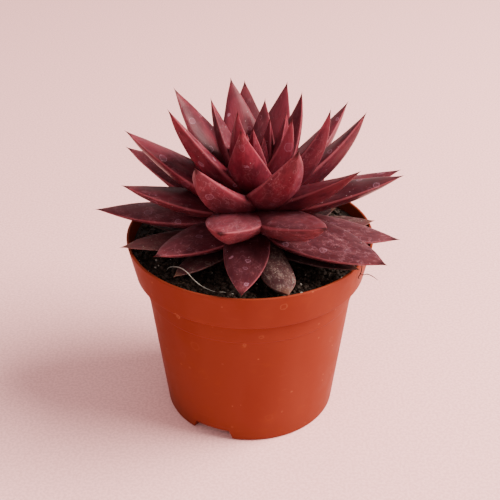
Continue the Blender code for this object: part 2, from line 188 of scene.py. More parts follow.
# Dried drops: how far apart they fell, their radius, the width of their line, and the share of
# them that left a mark
LEAF_RINGS = (6.5 * MM, 1.7 * MM, 0.28 * MM, 0.40)
LEAF_SPECKS = (1.8 * MM, 0.12 * MM, 0.16 * MM, 0.30)
POT_RINGS = (9 * MM, 1.7 * MM, 0.45 * MM, 0.55)
POT_SPECKS = (3.6 * MM, 0.40 * MM, 0.30 * MM, 0.12)
POT_DUST = (2.6 * MM, 0.10 * MM, 0.20 * MM, 0.20)

# Rings fade from the pot's top to its foot, and this share of them is left there
SPLASH_FOOT, SPLASH_TOP, SPLASH_LOW_SHARE = 40 * MM, 66 * MM, 0.2

# What rubbing and thick wax add to the streaks, and where in its noise a tide line lies
RUB_SHARE, WAX_SHARE = 0.8, 0.16
TIDE_LEVEL, TIDE_WIDTH = 0.5, 0.016

# Loose crumbs: how strongly small ones outnumber large ones, how high each sits as a share of
# its size, and how near they come to the stem and to the pot
CRUMB_SKEW, CRUMB_LIFT = 2.4, 0.3
CRUMB_NEAREST, CRUMB_MARGIN = 9 * MM, 1.2 * MM

# Loose root fibres: how many, and how far from the stem, how long and how thick they are
ROOT_COUNT = 60
ROOT_PLACE, ROOT_LENGTH, ROOT_RADIUS = np.array(((30, 47), (3, 9), (0.05, 0.11))) * MM
ROOT_LIMIT = 46.5 * MM

# Root fibres that are seen one by one: half their thickness, and the steps along each
FIBRE_RADIUS, FIBRE_TAPER, FIBRE_STEPS = 0.20 * MM, 0.6, 60

# Half the width of the floor, so far off that its end isn't seen as an edge
FLOOR_REACH = 40.0


def linear(code):
    """Turn an sRGB hex code into linear red, green, blue and alpha."""
    values = np.array([int(code[i:i + 2], 16) for i in (0, 2, 4)]) / 255
    curve = np.where(values <= 0.04045, values / 12.92, ((values + 0.055) / 1.055) ** 2.4)
    return (*(float(value) for value in curve), 1.0)


class PotSettings(PropertyGroup):
    """Sizes and colour of the pot."""

    height: FloatProperty(
        name="Height", description="Height of the pot", default=84 * MM, unit="LENGTH")
    rim_radius: FloatProperty(
        name="Rim radius", description="Outer radius at the lip", default=52.9 * MM, unit="LENGTH")
    base_radius: FloatProperty(
        name="Base radius", description="Outer radius at the foot", default=37.5 * MM,
        unit="LENGTH")
    band_height: FloatProperty(
        name="Band height", description="Height of the rim band", default=16.4 * MM,
        unit="LENGTH")
    wall: FloatProperty(
        name="Wall", description="Thickness of the plastic", default=1.2 * MM, unit="LENGTH")
    colour: FloatVectorProperty(
        name="Plastic colour", description="Colour of the terracotta plastic", subtype="COLOR",
        size=4, default=linear("76301F"))


class LeafSettings(PropertyGroup):
    """Sizes and colours of the leaves."""

    count: IntProperty(name="Places", description="Places of living leaves", default=41, min=1)
    divergence: FloatProperty(
        name="Divergence", description="Turn from one leaf to the next, in degrees",
        default=137.86)
    length: FloatProperty(
        name="Length", description="Length of a full leaf", default=58 * MM, unit="LENGTH")
    width: FloatProperty(
        name="Width", description="Width of a full leaf", default=21 * MM, unit="LENGTH")
    depth: FloatProperty(
        name="Thickness", description="Thickness of a full leaf", default=7.6 * MM,
        unit="LENGTH")
    spine: FloatProperty(
        name="Spine", description="Length of the hard point at the tip", default=0.7 * MM,
        unit="LENGTH")
    heart_colour: FloatVectorProperty(
        name="Heart colour", description="Colour of the young leaves", subtype="COLOR",
        size=4, default=linear("822B3B"))
    outer_colour: FloatVectorProperty(
        name="Outer colour", description="Colour of the grown leaves", subtype="COLOR",
        size=4, default=linear("4A1E25"))
    old_colour: FloatVectorProperty(
        name="Old leaf colour", description="Colour of the drying leaves", subtype="COLOR",
        size=4, default=linear("2E181B"))


class SoilSettings(PropertyGroup):
    """Amounts and colour of the potting mix."""

    crumbs: IntProperty(
        name="Crumbs", description="Loose crumbs of peat and bark", default=5600, min=0)
    perlite: IntProperty(
        name="Pale grains", description="Grains of perlite and sand", default=260, min=0)
    relief: FloatProperty(
        name="Relief", description="Height of the surface's lumps", default=1.1 * MM,
        unit="LENGTH")
    colour: FloatVectorProperty(
        name="Soil colour", description="Colour of the damp peat", subtype="COLOR",
        size=4, default=linear("1D1511"))


class StageSettings(PropertyGroup):
    """Camera, light and floor."""

    distance: FloatProperty(
        name="Camera distance", description="Distance from the camera to its target",
        default=467.25 * MM, unit="LENGTH")
    elevation: FloatProperty(
        name="Camera elevation", description="Angle of the camera above the horizon, in degrees",
        default=30.74)
    target: FloatProperty(
        name="Target height", description="Height that the camera looks at", default=74.9 * MM,
        unit="LENGTH")
    lens: FloatProperty(name="Lens", description="Focal length in mm", default=77.8)
    floor_colour: FloatVectorProperty(
        name="Floor colour", description="Colour of the floor", subtype="COLOR", size=4,
        default=linear("FBBEBD"))
    key_power: FloatProperty(name="Key light", description="Power of the key light", default=77.0)
    fill_power: FloatProperty(name="Fill light", description="Power of the fill", default=3.0)
    sky: FloatProperty(name="Sky", description="Strength of the even light", default=0.80)


def ease(values, start, end):
    """Rise smoothly from 0 at start to 1 at end; end may be the lower one."""
    share = np.clip((values - start) / (end - start), 0, 1)
    return share * share * (3 - 2 * share)


def lattice_noise(points, cell, seed):
    """Smooth noise from -1 to 1: each corner of a cubic lattice has a fixed random number, and
    a point blends its eight corners by a smooth step."""
    scaled = points / cell
    low = np.floor(scaled).astype(np.int64)
    part = scaled - low
    blend = part * part * (3 - 2 * part)
    total = np.zeros(points.shape[:-1])
    for corner in np.ndindex(2, 2, 2):
        weight = np.prod(np.where(corner, blend, 1 - blend), axis=-1)
        key = (low + corner) * np.array((73856093, 19349663, 83492791))
        mixed = (key[..., 0] ^ key[..., 1] ^ key[..., 2] ^ (seed * 668265263)) & 0xFFFFFFFF
        for _ in range(2):
            mixed = ((mixed >> 16) ^ mixed) * 0x45D9F3B & 0xFFFFFFFF
        total += weight * (mixed / 0x7FFFFFFF - 1)
    return total


def layered_noise(points, layers):
    """The sum of some lattice noises; each layer is a height, a cell and a seed."""
    return sum(height * lattice_noise(points, cell, seed) for height, cell, seed in layers)


def closed_grid(points, **attributes):
    """A closed sheet from a grid that wraps round its second axis. Its first and last rows
    become the two poles. Faces turn their outside to the cross product of the steps round the
    grid and along it. An attribute is a grid too, or a row, a column or one value for it all."""
    rows, columns = points.shape[:2]
    here = np.arange((rows - 2) * columns).reshape(rows - 2, columns) + 1
    beside = np.roll(here, -1, axis=1)
    first, last = 0, (rows - 2) * columns + 1
    quads = np.stack((here[:-1], beside[:-1], beside[1:], here[1:]), axis=-1).reshape(-1, 4)
    start = np.stack((np.full(columns, first), beside[0], here[0]), axis=-1)
    end = np.stack((here[-1], beside[-1], np.full(columns, last)), axis=-1)

    def flat(grid):
        grid = np.broadcast_to(grid, (rows, columns, *np.shape(grid)[2:]))
        inner = grid[1:-1].reshape(-1, *grid.shape[2:])
        return np.concatenate((grid[:1].mean(axis=1), inner, grid[-1:].mean(axis=1)))

    return {"points": flat(points), "quads": quads, "triangles": np.concatenate((start, end)),
            "attributes": {name: flat(grid) for name, grid in attributes.items()}}


def grid_normals(points):
    """Unit normals of a wrapped grid: the cross product of the steps round it and along it."""
    along = np.gradient(points, axis=0)
    around = np.roll(points, -1, axis=1) - np.roll(points, 1, axis=1)
    normal = np.cross(around, along)
    return normal / np.maximum(np.linalg.norm(normal, axis=-1, keepdims=True), 1e-12)


def add_object(name, data):
    """Put a new object that shows the data into the scene."""
    made = bpy.data.objects.new(name, data)
    bpy.context.scene.collection.objects.link(made)
    return made


def make_piece(name, sheets, material, replaced=()):
    """One object from closed sheets: it rides on the part, and its place is in its mesh."""
    points, faces, offset = [], [], 0
    for made in sheets:
        points.append(made["points"])
        for kind in ("quads", "triangles"):
            faces += (made[kind] + offset).tolist()
        offset += len(made["points"])
    mesh = bpy.data.meshes.new(name)
    mesh.from_pydata(np.concatenate(points).tolist(), [], faces)
    for key in sheets[0]["attributes"]:
        values = np.concatenate([made["attributes"][key] for made in sheets])
        kind, field = ("FLOAT_VECTOR", "vector") if values.ndim == 2 else ("FLOAT", "value")
        mesh.attributes.new(key, kind, "POINT").data.foreach_set(
            field, values.astype(np.float32).ravel())
    mesh.shade_smooth()
    mesh.materials.append(material)
    piece = add_object(name, mesh)
    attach(piece, "root")
    if replaced:
        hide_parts(*replaced)
    return piece


def heading_axes(heading):
    """Outward and sideways unit vectors for a heading from the front, positive to the right."""
    angle = np.radians(heading)
    outward = np.array((np.sin(angle), -np.cos(angle), 0.0))
    sideways = np.array((np.cos(angle), np.sin(angle), 0.0))
    return outward, sideways


def half_width(share, age, blunter):
    """Half width along a leaf as a share of its greatest: a swelling, then a point that is long
    and straight on a young leaf and fuller on an old one."""
    age = min(age, 1.0)
    widest = YOUNG_WIDEST + (FULL_WIDEST - YOUNG_WIDEST) * age
    power = YOUNG_POINT + (FULL_POINT - YOUNG_POINT) * age ** POINT_GROWTH + blunter
    swell = ROOT_WIDTH + (1 - ROOT_WIDTH) * np.sin(np.clip(share / widest, 0, 1) * np.pi / 2)
    fall = np.clip((share - widest) / (1 - widest), 0, 1)
    return np.where(share < widest, swell, 1 - fall ** power)


def thickness(share, blunter):
    """Thickness along a leaf as a share of its greatest."""
    swell = ROOT_DEPTH + (1 - ROOT_DEPTH) * np.sin(np.clip(share / THICKEST_AT, 0, 1) * np.pi / 2)
    fall = np.clip((share - THICKEST_AT) / (1 - THICKEST_AT), 0, 1)
    return np.where(share < THICKEST_AT, swell, 1 - fall ** (THIN_POWER + blunter))


def leaf_sheet(place, base, heading, rise, sizes, curl, root, age, spine, shape, wrinkle=0.0):
    """One leaf as a closed grid of steps along it by steps round it.

    Its centre line climbs with an even curl. The section is a shallow hollow face over a round
    belly that sharpens to a keel towards the tip; its half width and thickness swell and then
    fall to a point, which a short spine draws out. Shallow dents and, on an old leaf, shrunken
    furrows move the surface along its normals."""
    length, width, depth = sizes
    blunter, lean, roll = shape
    draw = np.random.default_rng(LEAF_SEED + place)
    share = 1 - (1 - np.linspace(0, 1, LEAF_ROWS)) ** ROW_CROWDING
    slope = np.radians(rise + curl * (share - 0.5))
    middle = (slope[1:] + slope[:-1]) / 2
    steps = length * np.diff(share)
    out = np.concatenate(([0.0], np.cumsum(steps * np.cos(middle))))
    up = np.concatenate(([0.0], np.cumsum(steps * np.sin(middle))))
    stretch = spine * np.exp(-(1 - share) / SPINE_REACH)
    out += stretch * np.cos(slope)
    up += stretch * np.sin(slope)

    turn = np.linspace(0, 2 * np.pi, LEAF_SIDES, endpoint=False)
    across, lift = np.cos(turn), np.sin(turn)
    narrow = 1 - TIP_NARROWING * np.exp(-(1 - share) / NARROW_REACH)
    keel = (ROOT_KEEL + KEEL_GROWTH * ease(share, 0.2, 0.85))[:, None]
    face = FACE_RISE * np.abs(lift) ** SECTION_POWER - FACE_HOLLOW * (1 - across ** 2)
    ridge = 1 - np.abs(across) ** SECTION_POWER
    belly = -BELLY * ((1 - keel) * np.abs(lift) + keel * ridge)
    through = np.where(lift > 0, face, belly)
    outline = half_width(share, age, blunter)
    side = (outline * narrow)[:, None] * width / 2 * across + lean * MM * (share ** 2)[:, None]
    through = (thickness(share, blunter) * narrow)[:, None] * depth * through
    tilt = np.radians(roll)
    side, through = (side * np.cos(tilt) + through * np.sin(tilt),
                     through * np.cos(tilt) - side * np.sin(tilt))

    outward, sideways = heading_axes(heading)
    radial = root + out[:, None] - np.sin(slope)[:, None] * through
    height = up[:, None] + np.cos(slope)[:, None] * through
    points = (base + radial[..., None] * outward + side[..., None] * sideways
              + height[..., None] * np.array((0.0, 0.0, 1.0)))

    along = np.broadcast_to(share[:, None] * length, side.shape)
    grain = np.stack((side, along, through), axis=-1) + draw.uniform(0, 1, 3)
    body = (ease(share, 0.0, 0.1) * ease(share, 1.0, 0.8))[:, None]
    furrows = layered_noise(grain * FURROW_STRETCH, FURROWS) + layered_noise(grain, SHRINKAGE)
    relief = body * (layered_noise(grain, DENTS) + wrinkle * furrows)
    points[1:-1] += (grid_normals(points) * relief[..., None])[1:-1]

    edge = np.exp(-(outline * width / 2)[:, None] * (1 - np.abs(across)) / MARGIN)
    # Most leaves have no look of their own: the crimson fades with age, and the wax varies. The
    # listed looks are partly painted light and shade
    usual = (0.55 - 0.45 * min(age, 1.0) + draw.uniform(-0.1, 0.1), draw.uniform(0.2, 0.5))
    bright, wax = LOOKS_AND_PAINTED_LIGHT.get(place, usual)
    return closed_grid(
        points, grain=grain, along=share[:, None], age=age, face=ease(lift, -0.15, 0.15),
        edge=edge * ease(share, 0.1, 0.4)[:, None], bright=bright, wax=wax)


def living_leaf(place, leaves):
    """The leaf at a place of the spiral, from the growth rule and its own habit."""
    turn, lift, longer, curl = HABITS[place]
    age = min(place / (leaves.count - 1), 1.0)
    full = np.array((leaves.length, leaves.width, leaves.depth))
    sizes = HEART_SIZES + (full - HEART_SIZES) * np.minimum(place / GROWING_PLACES, 1.0)
    wider, deeper, *shape = SHAPES.get(place, PLAIN_SHAPE)
    sizes += np.array((longer, wider, deeper)) * MM
    return leaf_sheet(
        place, CROWN + (LOWEST_LEAF - CROWN) * age,
        FIRST_HEADING - leaves.divergence * place + turn,
        FIRST_RISE - RISE_STEP * place + lift,
        sizes, curl, HEART_ROOT + (FULL_ROOT - HEART_ROOT) * age, age, leaves.spine, shape)


def turned_grid(profile, sides):
    """Turn a profile of (radius, height) rows round the Z axis, as a grid of rows by sides."""
    profile = np.asarray(profile)
    angle = np.linspace(0, 2 * np.pi, sides, endpoint=False)
    return np.stack((profile[:, :1] * np.cos(angle), profile[:, :1] * np.sin(angle),
                     profile[:, 1:] * np.ones(sides)), axis=-1)


def rounded(corners, step):
    """A profile with its corners eased: each (radius, height, round) corner becomes a parabola
    between points that far before and after it, and the straights are cut to even steps."""
    corners = np.asarray(corners)
    places, rounds = corners[:, :2], corners[:, 2]
    rows = [places[:1]]
    for i in range(1, len(corners) - 1):
        before, here, after = places[i - 1:i + 2]
        start = here + (before - here) / np.linalg.norm(before - here) * rounds[i]
        end = here + (after - here) / np.linalg.norm(after - here) * rounds[i]
        share = np.linspace(0, 1, 7 if rounds[i] > 0.2 * MM else 3)[:, None]
        arc = (1 - share) ** 2 * start + 2 * share * (1 - share) * here + share ** 2 * end
        rows.append(straight(rows[-1][-1], arc[0], step))
        rows.append(arc[1:])
    rows.append(straight(rows[-1][-1], places[-1], step))
    return np.concatenate(rows)


def straight(start, end, step):
    """Even points from start to end, without the start."""
    count = max(int(np.linalg.norm(end - start) / step), 1)
    return start + (end - start) * (np.arange(1, count + 1) / count)[:, None]


def tube_sheet(path, radii, sides=6):
    """A closed tube along a path: each ring stands square to the path, in a frame made from the
    path's direction and a steady sideways vector. It ends in points."""
    path = np.asarray(path)
    ahead = np.gradient(path, axis=0)
    ahead /= np.linalg.norm(ahead, axis=1, keepdims=True)
    aside = np.cross(ahead, (0.31, 0.22, 0.93))
    aside /= np.linalg.norm(aside, axis=1, keepdims=True)
    above = np.cross(aside, ahead)
    turn = np.linspace(0, 2 * np.pi, sides, endpoint=False)
    ring = np.cos(turn)[:, None] * above[:, None, :] + np.sin(turn)[:, None] * aside[:, None, :]
    points = path[:, None, :] + np.asarray(radii)[:, None, None] * ring
    ends = np.repeat(path[[0, -1]][:, None, :], sides, axis=1)
    return closed_grid(np.concatenate((ends[:1], points, ends[1:])))


def smooth_path(points, count):
    """A smooth line through points: each stretch is a cubic whose slopes come from its
    neighbours on both sides."""
    points = np.asarray(points, float)
    before, after = 2 * points[:1] - points[1:2], 2 * points[-1:] - points[-2:-1]
    padded = np.concatenate((before, points, after))
    place = np.linspace(0, len(points) - 1, count)
    index = np.minimum(place.astype(int), len(points) - 2)
    share = (place - index)[:, None]
    p0, p1, p2, p3 = (padded[index + i] for i in range(4))
    return 0.5 * (2 * p1 + (p2 - p0) * share + (2 * p0 - 5 * p1 + 4 * p2 - p3) * share ** 2
                  + (3 * p1 - p0 - 3 * p2 + p3) * share ** 3)


def add_node(tree, kind, inputs=None, **settings):
    """Add a node. Settings are its own properties; each input is a value or a socket to link."""
    made = tree.nodes.new(kind)
    for key, value in settings.items():
        setattr(made, key, value)
    for key, value in (inputs or {}).items():
        if isinstance(value, bpy.types.NodeSocket):
            tree.links.new(value, made.inputs[key])
        else:
            made.inputs[key].default_value = value
    return made


def new_material(name):
    """A material with its node tree and its Principled shader."""
    material = bpy.data.materials.new(name)
    material.use_nodes = True
    return material, material.node_tree, material.node_tree.nodes["Principled BSDF"]


def paint(tree, colour, layers):
    """Lay tints over a colour. Each layer is a source, the two values between which it grows
    from nothing to its amount, that amount, and the tint, as a code or as a colour."""
    for source, start, end, amount, tint in layers:
        mask = add_node(tree, "ShaderNodeMapRange", {
            "Value": source, "From Min": start, "From Max": end, "To Max": amount},
            interpolation_type="SMOOTHSTEP").outputs["Result"]
        shade = linear(tint) if isinstance(tint, str) else tint
        colour = add_node(tree, "ShaderNodeMix", {0: mask, 6: colour, 7: shade},
                          data_type="RGBA").outputs[2]
    return colour


def noises(tree, vector, rows):
    """Noise patterns by name. Each row is a name, how the vector is scaled on its three axes,
    so that a small value draws the pattern out, the pattern's size and its detail."""
    patterns = {}
    for key, scale, size, detail in rows:
        placed = add_node(tree, "ShaderNodeMapping", {
            "Vector": vector, "Scale": scale}).outputs["Vector"]
        patterns[key] = add_node(tree, "ShaderNodeTexNoise", {
            "Vector": placed, "Scale": 1 / size, "Detail": detail}).outputs["Fac"]
    return patterns


def dress(tree, shader, colour, height, strength, depth):
    """Give a shader its colour, and a relief of that strength and depth from a height."""
    bump = add_node(tree, "ShaderNodeBump", {
        "Strength": strength, "Distance": depth, "Height": height})
    tree.links.new(colour, shader.inputs["Base Color"])
    tree.links.new(bump.outputs["Normal"], shader.inputs["Normal"])


def drop_marks(tree, vector, spacing, radius, line, share):
    """Masks of what dried drops leave: a ring where the lime gathered, and the disc inside it.
    They come from the distance to scattered points, bent by a noise so that no ring is a true
    circle, and about the given share of the points carry a mark."""
    wobble = add_node(tree, "ShaderNodeTexNoise", {"Vector": vector, "Scale": 1 / radius})
    bent = add_node(tree, "ShaderNodeVectorMath", {
        0: wobble.outputs["Color"], 1: (0.9 * radius,) * 3, 2: vector},
        operation="MULTIPLY_ADD").outputs["Vector"]
    spots = add_node(tree, "ShaderNodeTexVoronoi", {"Vector": bent, "Scale": 1 / spacing})
    chance = add_node(tree, "ShaderNodeSeparateColor", {"Color": spots.outputs["Color"]})
    marked = add_node(tree, "ShaderNodeMapRange", {
        "Value": chance.outputs["Red"], "From Min": 1 - share, "From Max": 1.0,
        "To Min": 0.35}).outputs["Result"]
    shown = add_node(tree, "ShaderNodeMath", {0: chance.outputs["Red"], 1: 1 - share},
                     operation="GREATER_THAN").outputs[0]
    size = add_node(tree, "ShaderNodeMapRange", {
        "Value": chance.outputs["Green"], "To Min": 0.5 * radius / spacing,
        "To Max": 1.2 * radius / spacing}).outputs["Result"]
    away = add_node(tree, "ShaderNodeMath", {0: spots.outputs["Distance"], 1: size},
                    operation="SUBTRACT").outputs[0]
    off = add_node(tree, "ShaderNodeMath", {0: away}, operation="ABSOLUTE").outputs[0]
    masks = []
    for value, start, end in ((off, line / spacing, 0.2 * line / spacing),
                              (away, 0.0, -2 * line / spacing)):
        near = add_node(tree, "ShaderNodeMapRange", {
            "Value": value, "From Min": start, "From Max": end},
            interpolation_type="SMOOTHSTEP").outputs["Result"]
        for factor in (marked, shown):
            near = add_node(tree, "ShaderNodeMath", {0: near, 1: factor},
                            operation="MULTIPLY").outputs[0]
        masks.append(near)
    return masks


def leaf_material(name, leaves, old):
    """Waxy succulent leaf, as it grew: smooth taut skin under a thin powdery wax. To the eye it
    is satin, deep red where young, wine to brown where older, paler where the wax lies thick and
    rubbed in streaks, with dried water rings and tide lines, thin pale margins and dark horny
    points. The pale margins are partly painted highlight along the edges, each leaf darkens
    towards its base partly by painted shade, and the looks of listed leaves hold painted light
    and shade. An old leaf is duller, browner and furrowed."""
    material, tree, shader = new_material(name)
    grain = add_node(tree, "ShaderNodeAttribute", attribute_name="grain").outputs["Vector"]
    along, age, face, edge, bright, thick_wax = (
        add_node(tree, "ShaderNodeAttribute", attribute_name=key).outputs["Fac"]
        for key in ("along", "age", "face", "edge", "bright", "wax"))
    patterns = noises(tree, grain, (
        ("cloud", (1, 0.6, 1), 7 * MM, 3), ("fine", (1, 1, 1), 1.1 * MM, 4),
        ("vein", (1, 0.05, 1), 0.8 * MM, 2), ("rub", (1, 0.45, 1), 2.6 * MM, 6),
        ("streak", (1, 0.2, 1), 0.6 * MM, 3), ("tide", (1, 0.6, 1), 3.4 * MM, 3),
        ("grain", (1, 0.8, 1), 0.6 * MM, 2)))
    rings, discs = drop_marks(tree, grain, *LEAF_RINGS)
    specks, _ = drop_marks(tree, grain, *LEAF_SPECKS)
    cloudy = add_node(tree, "ShaderNodeMath", {0: patterns["cloud"], 1: patterns["rub"]},
                      operation="ADD").outputs[0]
    for key in ("streak", "grain"):
        for source, share in ((patterns["rub"], RUB_SHARE), (thick_wax, WAX_SHARE)):
            patterns[key] = add_node(tree, "ShaderNodeMath", {
                0: source, 1: share, 2: patterns[key]}, operation="MULTIPLY_ADD").outputs[0]
    wax = add_node(tree, "ShaderNodeMath", {0: cloudy, 1: thick_wax}, operation="ADD").outputs[0]
    shore = add_node(tree, "ShaderNodeMath", {
        0: patterns["tide"], 1: TIDE_LEVEL, 2: TIDE_WIDTH}, operation="COMPARE").outputs[0]
    tide_lines = add_node(tree, "ShaderNodeMath", {0: shore, 1: wax},
                          operation="MULTIPLY").outputs[0]
    young = add_node(tree, "ShaderNodeMath", {0: 1.0, 1: age}, operation="SUBTRACT").outputs[0]
    young_face = add_node(tree, "ShaderNodeMath", {0: young, 1: face},
                          operation="MULTIPLY").outputs[0]

    if old:
        colour = paint(tree, leaves.old_colour, [
            # Partly painted light and shade, as on the living leaves: the bright value lifts an
            # old leaf towards a paler wine
            (bright, 0.0, 1.0, 1.0, "562F32"),
            (patterns["cloud"], 0.45, 0.75, 0.45, "261A18"),
            (patterns["vein"], 0.45, 0.75, 0.35, "1A0E10"),
            (patterns["streak"], 1.04, 1.24, 0.24, "80696A"),
            (patterns["grain"], 1.02, 1.20, 0.34, "827468"),
            # Partly painted highlight: the pale margin also stands for light caught along the
            # leaf's edges
            (edge, 0.15, 0.9, 0.35, "86605E"),
            (wax, 1.35, 1.9, 0.20, "6A4E4C"),
            (rings, 0.0, 1.0, 0.25, "A8968C"),
            (specks, 0.0, 1.0, 0.6, "C9B8AE"),
            (along, 0.9, 0.99, 0.7, "5A3C30"),
        ])
    else:
        colour = paint(tree, leaves.outer_colour, [
            # Partly painted light and shade: the bright value lifts a leaf to crimson and, below
            # zero, paints it dull purple, as on the lit right-hand leaves painted darker as if in
            # shade
            (bright, 0.0, 1.0, 1.0, leaves.heart_colour),
            (bright, 0.0, -0.6, 0.7, "3C1B20"),
            (patterns["cloud"], 0.42, 0.68, 0.58, "2C0A15"),
            (young_face, 0.55, 0.95, 0.14, "453439"),
            # Painted shade in part: each leaf darkens to deep crimson towards its base, where the
            # leaves crowd round the heart
            (along, 0.50, 0.05, 0.65, "52060F"),
            (patterns["vein"], 0.40, 0.70, 0.24, "2C0810"),
            (wax, 1.35, 1.95, 0.20, "7E4A52"),
            (patterns["streak"], 1.12, 1.34, 0.26, "9C6468"),
            (patterns["grain"], 1.12, 1.30, 0.14, "9C7074"),
            (tide_lines, 1.05, 1.8, 0.17, "A8707C"),
            # Partly painted highlight: the pale margin also stands for light caught along the
            # leaf's edges
            (edge, 0.3, 0.95, 0.32, "A85862"),
            (discs, 0.0, 1.0, 0.12, "98647A"),
            (rings, 0.0, 1.0, 0.30, "B4849A"),
            (specks, 0.0, 1.0, 0.45, "D0B4BA"),
            (along, 0.80, 0.93, 0.12, "8A3A40"),
            (along, 0.93, 0.98, 0.90, "260A0C"),
        ])
    rough = add_node(tree, "ShaderNodeMapRange", {
        "Value": wax, "From Min": 1.0, "From Max": 1.8,
        "To Min": 0.50 if old else 0.28, "To Max": 0.75 if old else 0.48}).outputs["Result"]
    tree.links.new(rough, shader.inputs["Roughness"])
    height = add_node(tree, "ShaderNodeMath", {
        0: patterns["fine"], 1: 0.5, 2: patterns["vein"]}, operation="MULTIPLY_ADD").outputs[0]
    dress(tree, shader, colour, height, 0.6 if old else 0.32, 0.12 * MM)
    shader.inputs["Subsurface Weight"].default_value = 0.22
    shader.inputs["Subsurface Radius"].default_value = (1.0, 0.25, 0.2)
    shader.inputs["Subsurface Scale"].default_value = 1.5 * MM
    shader.inputs["IOR"].default_value = 1.42
    shader.inputs["Specular IOR Level"].default_value = 0.14
    shader.inputs["Specular Tint"].default_value = linear("FFD8DC")
    return material


def plastic_material(pot):
    """Polypropylene, injection moulded in a polished mould and coloured like terracotta. To the
    eye it is an even orange with a soft satin shine, a little uneven where the melt flowed, and
    it carries dried water rings, splashes of fine soil and scuffs from handling. Its lowest 14 mm
    darken towards the foot: painted shade for the gaps and the floor under the pot."""
    material, tree, shader = new_material("moulded_polypropylene")
    place = add_node(tree, "ShaderNodeTexCoord").outputs["Object"]
    high = add_node(tree, "ShaderNodeSeparateXYZ", {"Vector": place}).outputs["Z"]
    patterns = noises(tree, place, (
        ("flow", (1, 1, 0.3), 24 * MM, 3), ("film", (1, 1, 1), 7 * MM, 6),
        ("grit", (1, 1, 1), 0.7 * MM, 3), ("scuff", (1, 1, 6), 9 * MM, 5)))
    rings, _ = drop_marks(tree, place, *POT_RINGS)
    splashed = add_node(tree, "ShaderNodeMapRange", {
        "Value": high, "From Min": SPLASH_FOOT, "From Max": SPLASH_TOP,
        "To Min": SPLASH_LOW_SHARE}).outputs["Result"]
    rings = add_node(tree, "ShaderNodeMath", {0: rings, 1: splashed},
                     operation="MULTIPLY").outputs[0]
    specks, _ = drop_marks(tree, place, *POT_SPECKS)
    dust, _ = drop_marks(tree, place, *POT_DUST)
    colour = paint(tree, pot.colour, [
        (patterns["flow"], 0.40, 0.70, 0.35, "6A2110"),
        (patterns["film"], 0.52, 0.80, 0.10, "9A4A26"),
        (patterns["scuff"], 0.60, 0.80, 0.08, "A85A34"),
        (rings, 0.0, 1.0, 0.34, "B4704A"),
        (specks, 0.0, 1.0, 0.34, "BE7450"),
        (dust, 0.0, 1.0, 0.30, "3E1C12"),
        # Painted shade: the lowest 14 mm darken towards the foot, so that the foot gaps look
        # shaded
        (high, 14 * MM, 0.0, 0.25, "602414"),
    ])
    dress(tree, shader, colour, patterns["grit"], 0.12, 0.05 * MM)
    rough = add_node(tree, "ShaderNodeMapRange", {
        "Value": patterns["film"], "From Min": 0.3, "From Max": 0.8,
        "To Min": 0.40, "To Max": 0.56}).outputs["Result"]
    tree.links.new(rough, shader.inputs["Roughness"])
    shader.inputs["IOR"].default_value = 1.49
    shader.inputs["Specular IOR Level"].default_value = 0.03
    return material


def soil_material(name, base, tints, size):
    """What the plant grows in and from, never polished: damp peat, composted bark, perlite, the
    bark of a stem or a dry root, as its colours say. To the eye it is matt and grainy, with
    dark patches from a coarse noise and paler grains from a fine one."""
    material, tree, shader = new_material(name)
    place = add_node(tree, "ShaderNodeTexCoord").outputs["Object"]
    coarse, fine = (add_node(tree, "ShaderNodeTexNoise", {
        "Vector": place, "Scale": 1 / scale, "Detail": 5}).outputs["Fac"]
        for scale in (size, size / 5))
    colour = paint(tree, base, [
        (coarse, 0.42, 0.70, 0.8, tints[0]), (fine, 0.50, 0.72, 0.6, tints[1])])
    dress(tree, shader, colour, fine, 0.9, 0.3 * MM)
    shader.inputs["Roughness"].default_value = 0.60
    shader.inputs["Specular IOR Level"].default_value = 0.20
    return material


def floor_material(stage):
    """Matt paper, rolled smooth: a pale, even ground with a barely seen tooth."""
    material, tree, shader = new_material("matt_paper")
    place = add_node(tree, "ShaderNodeTexCoord").outputs["Object"]
    tooth = add_node(tree, "ShaderNodeTexNoise", {
        "Vector": place, "Scale": 1 / (1.2 * MM), "Detail": 3}).outputs["Fac"]
    colour = paint(tree, stage.floor_colour, [(tooth, 0.40, 0.60, 0.48, "DE9C9C")])
    dress(tree, shader, colour, tooth, 0.35, 0.2 * MM)
    shader.inputs["Roughness"].default_value = 0.9
    return material


def soil_level(x, y, relief):
    """Height of the soil: a dish that rises to the wall, low rolling lumps, and crumbs from three
    noises, each finer and lower than the last."""
    share = np.hypot(x, y) / SOIL_SPREAD
    lumps = (np.sin(2 * np.pi * x / SHORT_WAVE + 0.9) * np.cos(2 * np.pi * y / SHORT_WAVE)
             + np.sin(2 * np.pi * (y / LONG_WAVE - x / MIDDLE_WAVE)))
    flat = np.stack((x, y, 0 * x), axis=-1)
    dish = SOIL_LEVEL - SOIL_DISH * (1 - share ** 2)
    return dish + SOIL_LUMPS * lumps + relief * layered_noise(flat, CRUMBLE)


def inner_radius(pot, height):
    """Radius of the pot's inner wall in the rim band, which widens evenly up to the lip."""
    foot = pot.height - pot.band_height + pot.wall
    share = (height - foot) / (pot.height - foot)
    return BAND_FOOT_RADIUS - pot.wall + (pot.rim_radius - BAND_FOOT_RADIUS) * share


